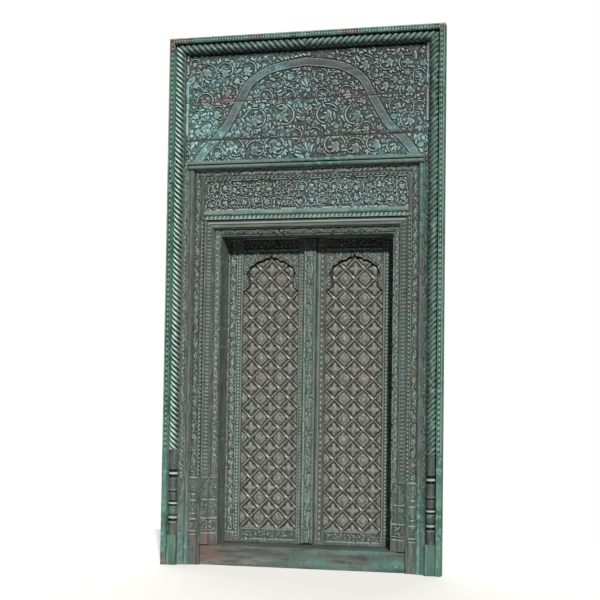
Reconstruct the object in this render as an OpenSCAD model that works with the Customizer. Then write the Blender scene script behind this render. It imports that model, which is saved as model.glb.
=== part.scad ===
// Carved double-leaf temple door in its own timber surround.
// X runs across the door, Z up, and the carved front faces -Y.
// The origin is at the middle of the footprint, on the ground.
// Depths in the modules are measured back from the foremost face.

/* [Opening] */
// Clear width between the inner jambs
opening_w = 866; // [760:2:1040]
// Clear height above the threshold
opening_h = 1518; // [1260:2:1840]
// Height of the threshold
threshold_h = 100; // [80:1:130]

/* [Surround, widths seen from the front] */
// Plain notched strip round the outer edge
edge_w = 25; // [18:1:40]
// Board that carries the rope moulding
rope_board_w = 53; // [50:1:70]
// Outer jamb, a leaf strip and a half-round
outer_jamb_w = 47; // [40:1:60]
// Middle jamb, a carved strip and a bead row
middle_jamb_w = 53; // [45:1:70]
// Inner jamb, a bead band and a sloping scroll band
inner_jamb_w = 79; // [70:1:100]
// Moulding below the lintel panel
lintel_mould_h = 45; // [38:1:60]
// Lintel panel
lintel_panel_h = 151; // [110:1:200]
// Cornice: a ledge over a half-round
cornice_h = 36; // [30:1:50]
// Whole carved field over the cornice
tympanum_h = 540; // [430:5:680]
// Lowest of the three boards of that field
board_low_h = 109; // [80:1:140]
// Middle board of that field
board_mid_h = 190; // [140:1:240]

/* [Surround, depths] */
// Thickness of the edge strips, and where the rope boards end
board_back = 58; // [50:1:75]
// Depth of the rope's axis behind the front
rope_axis_y = 28; // [24:1:34]
// Radius of the rope moulding
rope_r = 22; // [16:0.5:24]
// Back of the outer and middle jambs
jamb_back = 110; // [95:1:130]
// Front of the boards over the cornice
tympanum_front = 38; // [30:1:45]
// Thickness of those boards
tympanum_t = 37; // [28:1:45]
// Front of the lintel panel
panel_front = 64; // [55:1:75]
// Front of the bead band of the inner jamb
inner_front = 68; // [58:1:80]
// Front corner of the reveal
reveal_front = 102; // [88:1:120]
// Depth of the inner jambs from the front corner of the reveal
reveal_t = 122; // [90:1:150]
// Front of the threshold
threshold_front = 78; // [70:1:90]

/* [Rope column foot] */
// Height of the square block
block_h = 153; // [120:1:190]
// Where the rope twist starts
rope_start = 560; // [480:5:640]

/* [Leaves] */
// Thickness of the stiles and rails
leaf_t = 40; // [34:1:50]
// Gap between a leaf and the frame around it
leaf_gap = 4; // [3:0.5:8]
// Gap between the two leaves
meet_gap = 3; // [2:0.5:6]
// How far the left leaf reaches past the middle
strip_reach = 22; // [15:1:30]
// Width of the centre strip
strip_w = 60; // [46:1:76]
// How far the centre strip stands proud of the leaves
strip_proud = 16; // [10:1:20]
// How far a leaf runs up behind the inner head
leaf_lap = 18; // [10:1:24]
// Width of the carved border down the hanging side
border_w = 73; // [60:1:90]
// From the middle of the door to a lattice panel
lattice_in = 69; // [55:1:85]
// Height of the bottom rail
bottom_rail_h = 71; // [60:1:90]
// Height of the top rail
top_rail_h = 76; // [60:1:100]
// How far the lattice panel lies behind the leaf's face
panel_set = 10; // [8:1:14]
// Thickness of the lattice panel
lattice_t = 24; // [16:1:26]
// Height of the arched board at the panel's head
arch_board_h = 210; // [180:1:240]

/* [Pivots and back] */
// Radius of the wooden pivots
pivot_r = 14; // [10:0.5:17]
// Running clearance round a pivot
pivot_play = 0.05; // [0.02:0.01:0.1]
// Depth of the sockets below
socket_h = 40; // [30:1:60]
// Height of the beam that holds the upper pivots
pivot_beam_h = 100; // [80:1:140]
// Depth of the timbers behind the jambs
rear_t = 62; // [50:1:80]
// Width of the posts behind the jambs
rear_post_w = 50; // [40:1:70]
// From the jamb's reveal to a rear post
rear_post_set = 57; // [50:1:60]
// Height of a leaf's back ledges
ledge_h = 90; // [60:1:120]
// Thickness of a leaf's back ledges
ledge_t = 22; // [16:1:26]
// Width of the battens behind the carved boards
batten_w = 60; // [40:1:90]
// Thickness of the rails across those battens
back_rail_t = 30; // [20:1:40]
// Radius of a nail head
nail_r = 6; // [4:0.5:9]
// Height of a nail head
nail_h = 3; // [2:0.5:4]

/* [Hidden] */
$fn = 64;

// Distances from the middle of the door
inner_x = opening_w / 2;
middle_x = inner_x + inner_jamb_w;
outer_x = middle_x + middle_jamb_w;
rope_x = outer_x + outer_jamb_w;
edge_x = rope_x + rope_board_w;
rope_axis_u = rope_board_w / 2 - 0.5;

// Heights
opening_top = threshold_h + opening_h;
inner_top = opening_top + inner_jamb_w;
panel_z = inner_top + lintel_mould_h;
head_z = panel_z + lintel_panel_h;
cornice_z = head_z + middle_jamb_w;
tympanum_z = cornice_z + cornice_h;
rope_top_z = tympanum_z + tympanum_h;
edge_top_z = rope_top_z + rope_board_w;
half_round_r = 9;
cornice_ledge_h = 15;
strip_turn = 2 * half_round_r + 5;
board_mid_z = tympanum_z + board_low_h;
board_top_z = board_mid_z + board_mid_h;

// Depths
reveal_back = reveal_front + reveal_t;
tympanum_back = tympanum_front + tympanum_t;
leaf_front = reveal_back + leaf_gap;
leaf_back = leaf_front + leaf_t;
rear_back = reveal_back + rear_t;
total_depth = max(leaf_back + ledge_t + nail_h, rear_back);

// Leaves
pivot_x = inner_x - 1;
pivot_y = leaf_front + leaf_t / 2;
leaf_z = threshold_h + leaf_gap;
leaf_top = opening_top + leaf_lap;
lattice_out = inner_x - 1 - border_w;
lattice_z = leaf_z + bottom_rail_h;
lattice_top = leaf_top - top_rail_h;
lattice_mid = (lattice_in + lattice_out) / 2;
lattice_w = lattice_out - lattice_in;
pivot_beam_z = leaf_top + leaf_gap;
rear_post_x = inner_x + rear_post_set;
rear_out = rear_post_x + rear_post_w;
strip_end_gap = 6;
left_reach = -strip_reach;
right_reach = strip_reach + meet_gap;

// Back timbers: battens by their distance from the middle, rails and ledges by height
batten_x = rope_x * 0.68;
back_rail_top_z = rope_top_z - 90;
back_rail_mid_z = head_z + middle_jamb_w / 2 - 5;
leaf_h = leaf_top - leaf_z;
ledge_low_z = leaf_z + leaf_h * 0.13;
ledge_mid_z = leaf_z + leaf_h * 0.50;
ledge_top_z = leaf_z + leaf_h * 0.87;

// Puts the foremost face and the rearmost one at equal distances from the origin
module place() {
    translate([0, -total_depth / 2, 0]) children();
}

// Box between two distances from the middle, two depths and two heights
module box(x0, x1, y0, y1, z0, z1) {
    translate([x0, y0, z0]) cube([x1 - x0, y1 - y0, z1 - z0]);
}

// Flat outline in X and Z, made into a board between two depths
module board(y0, y1) {
    translate([0, y1, 0]) rotate([90, 0, 0]) linear_extrude(y1 - y0) children();
}

// Right-hand piece as drawn, or its mirror image on the left
module on_side(side) {
    if (side < 0) mirror([1, 0, 0]) children();
    else children();
}

// Upright with the section given as children, cut at 45 degrees at its head
module mitred_upright(x_in, w, z0, z_top) {
    intersection() {
        translate([x_in, 0, z0]) linear_extrude(z_top + w - z0) children();
        board(-1, total_depth)
            polygon([[x_in, z0], [x_in + w, z0], [x_in + w, z_top + w], [x_in, z_top]]);
    }
}

// Head with the same section, cut at 45 degrees at both ends
module mitred_head(x_in, w, z_top) {
    x_out = x_in + w;
    intersection() {
        translate([x_out, 0, z_top]) rotate([0, -90, 0]) linear_extrude(2 * x_out) children();
        board(-1, total_depth)
            polygon([[-x_in, z_top], [x_in, z_top], [x_out, z_top + w], [-x_out, z_top + w]]);
    }
}

// Sections: X is the distance out from the piece's inner edge, Y the depth
module edge_section() {
    square([edge_w, board_back]);
}

module rope_board_section() {
    translate([0, rope_axis_y]) square([rope_board_w, board_back - rope_axis_y]);
}

module rope_section() {
    translate([rope_axis_u, rope_axis_y]) circle(r = rope_r);
}

module leaf_strip_section() {
    polygon([[strip_turn, 40], [outer_jamb_w, 22], [outer_jamb_w, jamb_back],
        [strip_turn, jamb_back]]);
}

module outer_jamb_section() {
    leaf_strip_section();
    translate([0, 46]) square([strip_turn, jamb_back - 46]);
    translate([half_round_r + 2, 46]) circle(r = half_round_r);
}

module middle_jamb_section() {
    bead_w = 14;
    polygon([[0, 62], [bead_w, 62], [bead_w, 58], [middle_jamb_w, 52],
        [middle_jamb_w, jamb_back], [0, jamb_back]]);
    translate([bead_w / 2, 62]) circle(r = bead_w / 2 - 2);
}

module inner_jamb_section() {
    slope_w = 34;
    fillet_w = 6;
    band = slope_w + fillet_w;
    polygon([[0, reveal_front], [slope_w, inner_front + 14], [slope_w, inner_front + 8],
        [band, inner_front + 8], [band, inner_front], [inner_jamb_w, inner_front],
        [inner_jamb_w, reveal_back], [0, reveal_back]]);
}

module edge_strip(side) {
    color("seagreen") on_side(side)
        mitred_upright(edge_x, edge_w, 0, edge_top_z) edge_section();
}

module edge_strip_top() {
    color("seagreen") mitred_head(edge_x, edge_w, edge_top_z) edge_section();
}

// Turned foot of the rope column: each ring has a bottom, a top and two radii
module turned_foot() {
    rings = [
        [0.00, 0.17, 19, 21], [0.17, 0.24, 18, 18], [0.24, 0.38, 21, 19],
        [0.38, 0.52, 17, 17], [0.52, 0.60, 20, 20], [0.60, 0.72, 17, 14],
        [0.72, 0.78, 20, 20], [0.78, 1.00, 17, 19],
    ];
    foot_h = rope_start - block_h;
    scale_r = rope_r / 20;
    translate([rope_x + rope_axis_u, rope_axis_y, block_h])
        for (ring = rings)
            translate([0, 0, ring[0] * foot_h])
                cylinder(h = (ring[1] - ring[0]) * foot_h, r1 = ring[2] * scale_r,
                    r2 = ring[3] * scale_r);
}

module rope_post(side) {
    block_side = rope_r + 2;
    axis_x = rope_x + rope_axis_u;
    color("mediumseagreen") on_side(side) {
        mitred_upright(rope_x, rope_board_w, 0, rope_top_z) rope_board_section();
        mitred_upright(rope_x, rope_board_w, rope_start, rope_top_z) rope_section();
        turned_foot();
        box(axis_x - block_side, axis_x + block_side, rope_axis_y - block_side,
            rope_axis_y + 1, 0, block_h);
    }
}

module rope_beam_top() {
    color("mediumseagreen") {
        mitred_head(rope_x, rope_board_w, rope_top_z) rope_board_section();
        mitred_head(rope_x, rope_board_w, rope_top_z) rope_section();
    }
}

module outer_jamb(side) {
    color("darkseagreen") on_side(side) translate([outer_x, 0, 0]) {
        linear_extrude(cornice_z) outer_jamb_section();
        linear_extrude(tympanum_z) leaf_strip_section();
    }
}

module cornice() {
    round_r = (cornice_h - cornice_ledge_h) / 2;
    round_y = tympanum_front - 4;
    end_x = outer_x + strip_turn;
    color("seagreen") {
        box(-end_x, end_x, tympanum_front - 22, tympanum_back, tympanum_z - cornice_ledge_h,
            tympanum_z);
        box(-end_x, end_x, round_y, tympanum_back, cornice_z, tympanum_z - cornice_ledge_h);
        translate([-end_x, round_y, cornice_z + round_r]) rotate([0, 90, 0])
            cylinder(h = 2 * end_x, r = round_r);
    }
}

module middle_jamb(side) {
    color("slategray") on_side(side)
        mitred_upright(middle_x, middle_jamb_w, 0, head_z) middle_jamb_section();
}

module middle_head() {
    color("slategray") mitred_head(middle_x, middle_jamb_w, head_z) middle_jamb_section();
}

module lintel_panel() {
    color("dimgray")
        box(-middle_x, middle_x, panel_front, jamb_back, panel_z, head_z);
}

module lintel_moulding() {
    bead_h = lintel_mould_h * 0.42;
    round_r = (lintel_mould_h - bead_h) / 2;
    color("cadetblue") {
        box(-middle_x, middle_x, panel_front, jamb_back, inner_top, panel_z);
        translate([-middle_x, panel_front, inner_top + bead_h + round_r]) rotate([0, 90, 0])
            cylinder(h = 2 * middle_x, r = round_r);
    }
}

module inner_jamb(side) {
    color("slategray") on_side(side)
        mitred_upright(inner_x, inner_jamb_w, threshold_h, opening_top) inner_jamb_section();
}

module inner_head() {
    color("slategray") mitred_head(inner_x, inner_jamb_w, opening_top) inner_jamb_section();
}

module tympanum_board(z0, z1) {
    color("dimgray") box(-rope_x, rope_x, tympanum_front, tympanum_back, z0, z1);
}

// Round sockets for the pivots, on both sides
module pivot_sockets(z0, z1) {
    for (side = [-1, 1])
        translate([side * pivot_x, pivot_y, z0])
            cylinder(h = z1 - z0, r = pivot_r + pivot_play);
}

module threshold() {
    color("darkseagreen") difference() {
        union() {
            box(-middle_x, middle_x, threshold_front, rear_back, 0, threshold_h);
            box(-rear_out, rear_out, jamb_back, rear_back, 0, threshold_h);
        }
        pivot_sockets(threshold_h - socket_h, threshold_h + 1);
    }
}

module pivot_beam() {
    color("saddlebrown") difference() {
        box(-rear_out, rear_out, reveal_back, rear_back, pivot_beam_z,
            pivot_beam_z + pivot_beam_h);
        pivot_sockets(pivot_beam_z - 1, pivot_beam_z + socket_h + 20);
    }
}

module rear_post(side) {
    color("saddlebrown") on_side(side)
        box(rear_post_x, rear_out, reveal_back, rear_back, threshold_h, pivot_beam_z);
}

module batten(x) {
    color("peru")
        box(x - batten_w / 2, x + batten_w / 2, tympanum_back, jamb_back, cornice_z, rope_top_z);
}

// Rail across the back, centred on a height
module back_rail(z) {
    color("peru")
        box(-rope_x, rope_x, jamb_back, jamb_back + back_rail_t, z - batten_w / 2,
            z + batten_w / 2);
}

// Nail head standing on a face that looks back
module nail_head(x, y, z) {
    translate([x, y, z]) rotate([-90, 0, 0]) cylinder(h = nail_h, r = nail_r, $fn = 24);
}

// Two nails where each batten crosses the upper rail, and two at each end of the lower one
module batten_nails() {
    step = batten_w / 4;
    color("dimgray") for (x = [-batten_x, 0, batten_x])
        for (z = [back_rail_top_z, back_rail_mid_z])
            for (side = [-1, 1])
                nail_head(x + side * step, jamb_back + back_rail_t, z + side * step);
}

// Leaf pieces, drawn on the right; reach is the distance of the meeting edge from the middle
module hanging_stile(side) {
    color("dimgray") on_side(side) {
        box(lattice_out, pivot_x, leaf_front, leaf_back, leaf_z, leaf_top);
        translate([pivot_x, pivot_y, leaf_z]) cylinder(h = leaf_top - leaf_z, r = leaf_t / 2);
        translate([pivot_x, pivot_y, threshold_h - socket_h])
            cylinder(h = pivot_beam_z + socket_h - threshold_h + socket_h, r = pivot_r);
    }
}

module meeting_stile(side, reach) {
    color("dimgray") on_side(side)
        box(reach, lattice_in, leaf_front, leaf_back, leaf_z, leaf_top);
}

module top_rail(side) {
    color("dimgray") on_side(side)
        box(lattice_in, lattice_out, leaf_front, leaf_back, lattice_top, leaf_top);
}

module bottom_rail(side) {
    color("dimgray") on_side(side)
        box(lattice_in, lattice_out, leaf_front, leaf_back, leaf_z, lattice_z);
}

module lattice_panel(side) {
    color("gray") on_side(side)
        box(lattice_in, lattice_out, leaf_front + panel_set, leaf_front + panel_set + lattice_t,
            lattice_z, lattice_top);
}

// Outline of the scalloped arch: round foils up each side, with a point at the crown.
// Each foil has a distance from the middle, a height and a radius, as shares of the size.
module scalloped_arch(half_w, rise) {
    foils = [[0.117, 0.739, 0.239], [0.348, 0.576, 0.345], [0.602, 0.554, 0.223],
        [0.694, 0.478, 0.186]];
    side = [for (foil = foils) [foil[0], foil[1]]];
    inner = concat(side, [[0.855, 0.40], [0.81, 0.30], [0.80, 0.20], [0.83, 0.13],
        [0.90, 0.08], [1, 0.03], [1, -0.05]]);
    count = len(inner);
    outline = concat(inner, [for (i = [count - 1:-1:0]) [-inner[i][0], inner[i][1]]]);
    polygon([for (point = outline) [point[0] * half_w, point[1] * rise]]);
    for (foil = foils)
        for (way = [-1, 1])
            translate([way * foil[0] * half_w, foil[1] * rise]) circle(r = foil[2] * half_w);
    polygon([[-0.07 * half_w, 0.8 * rise], [-0.07 * half_w, 0.92 * rise], [0, rise],
        [0.07 * half_w, 0.92 * rise], [0.07 * half_w, 0.8 * rise]]);
    translate([-half_w, -half_w]) square([2 * half_w, 0.96 * half_w]);
}

module arch_board(side) {
    base_z = lattice_top - arch_board_h;
    color("slategray") on_side(side) board(leaf_front + 2, leaf_front + panel_set)
        difference() {
            translate([lattice_in, base_z]) square([lattice_w, arch_board_h]);
            translate([lattice_mid, base_z]) scalloped_arch(lattice_w / 2, arch_board_h - 22);
        }
}

module back_ledge(side, reach, z) {
    color("peru") on_side(side)
        box(reach + 15, pivot_x - 7, leaf_back, leaf_back + ledge_t, z - ledge_h / 2,
            z + ledge_h / 2);
}

// Two nails at each end of each back ledge
module ledge_nails(side, reach) {
    ends = [reach + 35, pivot_x - 35];
    color("dimgray") on_side(side)
        for (z = [ledge_low_z, ledge_mid_z, ledge_top_z])
            for (x = ends)
                for (up = [-1, 1])
                    nail_head(x + up * nail_r, leaf_back + ledge_t, z + up * ledge_h / 4);
}

module centre_strip() {
    color("mediumseagreen")
        box(strip_reach - strip_w, strip_reach, leaf_front - strip_proud, leaf_front,
            leaf_z + strip_end_gap, opening_top - strip_end_gap);
}

place() edge_strip(-1);  // edge_strip_left
place() edge_strip(1);  // edge_strip_right
place() edge_strip_top();
place() rope_post(-1);  // rope_post_left
place() rope_post(1);  // rope_post_right
place() rope_beam_top();
place() outer_jamb(-1);  // outer_jamb_left
place() outer_jamb(1);  // outer_jamb_right
place() cornice();
place() middle_jamb(-1);  // middle_jamb_left
place() middle_jamb(1);  // middle_jamb_right
place() middle_head();
place() lintel_panel();
place() lintel_moulding();
place() inner_jamb(-1);  // inner_jamb_left
place() inner_jamb(1);  // inner_jamb_right
place() inner_head();
place() tympanum_board(tympanum_z, board_mid_z);  // tympanum_board_low
place() tympanum_board(board_mid_z, board_top_z);  // tympanum_board_mid
place() tympanum_board(board_top_z, rope_top_z);  // tympanum_board_top
place() threshold();
place() pivot_beam();
place() rear_post(-1);  // rear_post_left
place() rear_post(1);  // rear_post_right
place() batten(-batten_x);  // batten_left
place() batten(0);  // batten_centre
place() batten(batten_x);  // batten_right
place() back_rail(back_rail_top_z);  // back_rail_top
place() back_rail(back_rail_mid_z);  // back_rail_mid
place() batten_nails();
place() hanging_stile(-1);  // left_hanging_stile
place() meeting_stile(-1, left_reach);  // left_meeting_stile
place() top_rail(-1);  // left_top_rail
place() bottom_rail(-1);  // left_bottom_rail
place() lattice_panel(-1);  // left_lattice_panel
place() arch_board(-1);  // left_arch_board
place() back_ledge(-1, left_reach, ledge_low_z);  // left_ledge_low
place() back_ledge(-1, left_reach, ledge_mid_z);  // left_ledge_mid
place() back_ledge(-1, left_reach, ledge_top_z);  // left_ledge_top
place() ledge_nails(-1, left_reach);  // left_nails
place() centre_strip();
place() hanging_stile(1);  // right_hanging_stile
place() meeting_stile(1, right_reach);  // right_meeting_stile
place() top_rail(1);  // right_top_rail
place() bottom_rail(1);  // right_bottom_rail
place() lattice_panel(1);  // right_lattice_panel
place() arch_board(1);  // right_arch_board
place() back_ledge(1, right_reach, ledge_low_z);  // right_ledge_low
place() back_ledge(1, right_reach, ledge_mid_z);  // right_ledge_mid
place() back_ledge(1, right_reach, ledge_top_z);  // right_ledge_top
place() ledge_nails(1, right_reach);  // right_nails
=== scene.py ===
import math

import bmesh
import bpy
import numpy as np
from mathutils import Matrix, Vector


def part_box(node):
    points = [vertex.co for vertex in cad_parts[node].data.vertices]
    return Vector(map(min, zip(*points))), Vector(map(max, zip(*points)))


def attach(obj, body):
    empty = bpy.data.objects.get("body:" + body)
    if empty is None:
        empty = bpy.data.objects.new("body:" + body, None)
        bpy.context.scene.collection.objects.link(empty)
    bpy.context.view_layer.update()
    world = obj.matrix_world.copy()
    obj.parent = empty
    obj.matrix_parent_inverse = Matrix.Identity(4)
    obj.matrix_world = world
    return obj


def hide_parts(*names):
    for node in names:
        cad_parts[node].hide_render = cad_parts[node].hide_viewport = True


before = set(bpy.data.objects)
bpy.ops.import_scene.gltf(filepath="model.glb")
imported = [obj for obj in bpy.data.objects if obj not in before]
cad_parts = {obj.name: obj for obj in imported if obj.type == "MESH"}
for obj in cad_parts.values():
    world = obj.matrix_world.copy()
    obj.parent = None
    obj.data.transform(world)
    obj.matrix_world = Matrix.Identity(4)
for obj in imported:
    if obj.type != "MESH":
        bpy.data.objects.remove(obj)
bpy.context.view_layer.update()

# ---------------------------------------------------------------- sizes in metres

MM = 0.001
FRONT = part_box("edge_strip_left")[0].y
INNER_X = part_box("inner_jamb_right")[0].x
MIDDLE_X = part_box("middle_jamb_right")[0].x
OUTER_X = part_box("outer_jamb_right")[0].x
ROPE_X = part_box("rope_post_right")[0].x
EDGE_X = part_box("edge_strip_right")[0].x
SILL_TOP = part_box("threshold")[1].z
OPENING_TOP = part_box("inner_head")[0].z
HEAD_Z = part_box("middle_head")[0].z
CORNICE_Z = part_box("cornice")[0].z
FIELD_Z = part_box("tympanum_board_low")[0].z
ROPE_TOP_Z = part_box("rope_beam_top")[0].z
EDGE_TOP_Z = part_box("edge_strip_top")[0].z

FINE = 2.9 * MM
COARSE = 3.6 * MM
ROPE_PITCH = 25.2 * MM
ROPE_LEAN = 0.62
BLOCK_TOP = 153 * MM
ROPE_START = 560 * MM
SIDES = {"left": -1, "right": 1}

# Where the backs of the mouldings lie, in millimetres as their sections are.
ROPE_BACK = 58
JAMB_BACK = 110
INNER_BACK = 224

rng = np.random.default_rng(7)


# ---------------------------------------------------------------- the carver's height field

class Relief:
    """Carved height over a face: 1 is the uncut face, 0 the ground."""

    def __init__(self, x, height, step):
        self.x = x
        self.z = np.linspace(0, height, max(2, round(height / step)) + 1)
        self.h = np.ones((len(self.z), len(self.x)))
        self.bare = np.zeros_like(self.h)
        self.tone = np.ones_like(self.h)

    def near(self, cx, cz, reach):
        """Window round a point, and the distances from that point."""
        i0, i1 = np.searchsorted(self.x, (cx - reach, cx + reach))
        j0, j1 = np.searchsorted(self.z, (cz - reach, cz + reach))
        across = self.x[i0:i1][None, :] - cx
        up = self.z[j0:j1][:, None] - cz
        return (slice(j0, j1), slice(i0, i1)), across, up

    def zone(self, x0, x1, z0=-1.0, z1=9.0):
        """Rows and columns of a rectangle of the field."""
        i0, i1 = np.searchsorted(self.x, (x0, x1))
        j0, j1 = np.searchsorted(self.z, (z0, z1))
        return slice(j0, j1), slice(i0, i1)

    def level(self, value, x0, x1, z0=-1.0, z1=9.0):
        """Cuts or fills a rectangle to one height."""
        self.h[self.zone(x0, x1, z0, z1)] = value

    def raise_to(self, window, height):
        self.h[window] = np.maximum(self.h[window], height)

    def bead(self, cx, cz, radius, height=1.0, stretch=1.0):
        """Round dome, or a long one when stretched up the field."""
        window, across, up = self.near(cx, cz, radius * max(1.0, stretch))
        r2 = (across / radius) ** 2 + (up / (radius * stretch)) ** 2
        self.raise_to(window, np.sqrt(np.clip(1 - r2, 0, 1)) * height)

    def leaf(self, cx, cz, length, width, angle, height=1.0):
        """Pointed leaf from a point along an angle, with a sunk midrib."""
        window, across, up = self.near(cx, cz, length * 1.05)
        dome = pointed(across, up, length, width, angle)
        rib = pointed(across, up, length, width * 0.3, angle)
        self.raise_to(window, dome * (1 - 0.4 * rib) * height)

    def vine(self, points, radius, height=1.0, groove=0.0):
        """Round stem through the points, with a cut along both sides."""
        points = resample(points, radius * 0.6)
        for cx, cz in points if groove else ():
            window, across, up = self.near(cx, cz, radius + groove)
            cut = np.hypot(across, up) < radius + groove
            self.h[window] = np.where(cut, np.minimum(self.h[window], 0.08), self.h[window])
        for cx, cz in points:
            self.bead(cx, cz, radius, height)

    def rosette(self, cx, cz, radius, petals, turn=0.0, height=1.0):
        """Round flower: a boss with petals round it."""
        window, across, up = self.near(cx, cz, radius)
        r = np.hypot(across, up) / radius
        lobes = np.abs(np.cos(petals * (np.arctan2(up, across) - turn) / 2)) ** 0.7
        petal = lobes * np.sqrt(np.clip(1 - ((r - 0.62) / 0.38) ** 2, 0, 1))
        boss = 0.95 * np.sqrt(np.clip(1 - (r / 0.24) ** 2, 0, 1))
        self.raise_to(window, np.where(r <= 1, np.maximum(petal, boss), 0) * height)

    def lobed(self, cx, cz, length, angle, lobes=2, height=1.0, cut=3.0 * MM):
        """Leaf of lobes fanned out from one point, laid down with a cut all round it."""
        window, across, up = self.near(cx, cz, length * 1.1 + cut)
        shape, moat = np.zeros(np.broadcast(across, up).shape), False
        for k in range(-lobes, lobes + 1):
            reach = length * (1 - 0.24 * abs(k)) * rng.uniform(0.88, 1.06)
            lobe = (reach, length * 0.41, angle + k * 0.62)
            dome = pointed(across, up, *lobe)
            rib = pointed(across, up, reach * 0.9, 3.2 * MM, lobe[2])
            shape = np.maximum(shape, dome * (1 - 0.35 * rib))
            moat = moat | (pointed(across, up, *lobe, cut) > 0)
        lean = rng.uniform(0, 2 * math.pi)
        tilt = 0.80 + 0.42 * (across * math.cos(lean) + up * math.sin(lean)) / length
        under = np.where(moat, 0.0, self.h[window])
        self.h[window] = np.where(shape > 0.2, shape * np.clip(tilt, 0.4, 1) * height, under)

    def scroll(self, cx, cz, radius, hand=1, start=0.0):
        """Curling stem with lobed leaves off its outer side and a big one in its eye."""
        path, heading = [], []
        for k in range(25):
            f = k / 24
            a = start + hand * 1.85 * math.pi * f
            r = radius * (1 - 0.58 * f ** 1.3)
            path.append((cx + r * math.cos(a), cz + r * math.sin(a)))
            heading.append(a + hand * math.pi / 2)
        for k in (1, 4, 7, 10, 13, 16):
            self.lobed(*path[k], radius * rng.uniform(0.6, 0.8), heading[k] - hand * 0.8, 1,
                       rng.uniform(0.8, 1.0))
        self.vine(path, max(radius * 0.07, 3.0 * MM), 0.85, min(radius * 0.10, 4.5 * MM))
        eye = path[-1]
        self.lobed(*eye, radius * 1.05, math.atan2(cz - eye[1], cx - eye[0]) + hand * 0.3, 2)

    def foliage(self, x0, x1, z0, z1, spacing, flow, cut=2.0 * MM):
        """Covers what is still ground with leaves laid along a flow."""
        for cz in np.arange(z0, z1, spacing):
            for cx in np.arange(x0, x1, spacing):
                px, pz = cx + rng.uniform(-4, 4) * MM, cz + rng.uniform(-4, 4) * MM
                patch = self.h[self.near(px, pz, spacing * 0.36)[0]]
                if patch.size == 0 or patch.mean() > 0.2:
                    continue
                self.lobed(px, pz, spacing * rng.uniform(1.1, 1.7),
                           flow(px, pz) + rng.uniform(-1.2, 1.2), int(rng.random() < 0.4),
                           rng.uniform(0.7, 1.0), cut)

    def beads(self, cx, radius, pitch, lean=0.0, z0=0.0, z1=None):
        """Row of beads up the field; lean turns each into a slanting stroke."""
        for cz in np.arange(z0 + pitch / 2, self.z[-1] if z1 is None else z1, pitch):
            if lean:
                self.vine([(cx - radius, cz - lean), (cx + radius, cz + lean)],
                          pitch * 0.34)
            else:
                self.bead(cx, cz, radius)

    def soften(self, share):
        """Wears the carving down to a share of its depth."""
        self.h = 1 - share * (1 - self.h)

    def part(self, z0, z1, step):
        """The stretch of the field between two heights, as a field of its own."""
        piece = Relief(self.x, z1 - z0, step)
        rows = np.interp(piece.z + z0, self.z, np.arange(len(self.z)))
        low = np.minimum(rows.astype(int), len(self.z) - 2)
        share = (rows - low)[:, None]
        piece.h = self.h[low] * (1 - share) + self.h[low + 1] * share
        piece.bare = self.bare[low] * (1 - share) + self.bare[low + 1] * share
        piece.tone = self.tone[low]
        return piece


def pointed(across, up, length, width, angle, grow=0.0):
    """Dome of a pointed lobe that starts at the origin; grow widens it all round."""
    ca, sa = math.cos(angle), math.sin(angle)
    along = np.clip((across * ca + up * sa + grow) / (length + 2 * grow), 0, 1)
    half = np.maximum((width / 2 + grow) * np.sin(math.pi * along ** 0.75), 1e-6)
    return np.sqrt(np.clip(1 - ((up * ca - across * sa) / half) ** 2, 0, 1))


def evenly(width, step):
    return np.linspace(0, width, max(2, round(width / step)) + 1)


def resample(points, gap):
    """Points along a path, evenly spaced."""
    points = np.array(points, float)
    along = np.concatenate([[0], np.cumsum(np.hypot(*np.diff(points, axis=0).T))])
    at = np.linspace(0, along[-1], max(2, int(along[-1] / gap) + 1))
    return list(zip(np.interp(at, along, points[:, 0]), np.interp(at, along, points[:, 1])))


def smooth_curve(points, per_span=8):
    """Catmull-Rom curve through the points."""
    p = np.array([points[0], *points, points[-1]], float)
    t = np.linspace(0, 1, per_span, endpoint=False)[:, None]
    spans = []
    for a, b, c, d in zip(p[:-3], p[1:-2], p[2:-1], p[3:]):
        spans.append(0.5 * (2 * b + (c - a) * t + (2 * a - 5 * b + 4 * c - d) * t ** 2
                            + (3 * b - a - 3 * c + d) * t ** 3))
    return np.vstack([*spans, p[-1:]])


def blur(field, reach):
    """Running mean over a window; a reach of two numbers is up and across."""
    for axis, reach in enumerate(np.broadcast_to(reach, 2)):
        size = 2 * reach + 1
        pad = [(reach + 1, reach) if a == axis else (0, 0) for a in (0, 1)]
        total = np.cumsum(np.pad(field, pad, mode="edge"), axis=axis)
        head = np.take(total, range(size, total.shape[axis]), axis=axis)
        tail = np.take(total, range(0, total.shape[axis] - size), axis=axis)
        field = (head - tail) / size
    return field


# ---------------------------------------------------------------- carved pieces as closed meshes

def carved_grid(relief, xyz):
    """Grid with every point put in place and the carving's fields stored on it."""
    bm = bmesh.new()
    nx, nz = len(relief.x) - 1, len(relief.z) - 1
    bmesh.ops.create_grid(bm, x_segments=nx, y_segments=nz, size=1)
    mesh = bpy.data.meshes.new("grid")
    bm.to_mesh(mesh)
    bm.free()
    co = np.empty(len(mesh.vertices) * 3)
    mesh.vertices.foreach_get("co", co)
    column = np.rint((co[0::3] + 1) / 2 * nx).astype(int)
    row = np.rint((co[1::3] + 1) / 2 * nz).astype(int)
    placed = np.stack([axis[row, column] for axis in xyz], axis=1)
    mesh.vertices.foreach_set("co", placed.ravel())
    crest = np.clip(0.5 + 0.9 * (relief.h - blur(relief.h, 3)), 0, 1)
    crest[:, [0, 1, -2, -1]] = 0.5
    fields = {"relief": relief.h, "crest": crest, "bare": relief.bare, "tone": relief.tone}
    for key, field in fields.items():
        layer = mesh.attributes.new(key, "FLOAT", "POINT")
        layer.data.foreach_set("value", field[row, column].astype(np.float32))
    bm = bmesh.new()
    bm.from_mesh(mesh)
    bpy.data.meshes.remove(mesh)
    return bm, column


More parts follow.
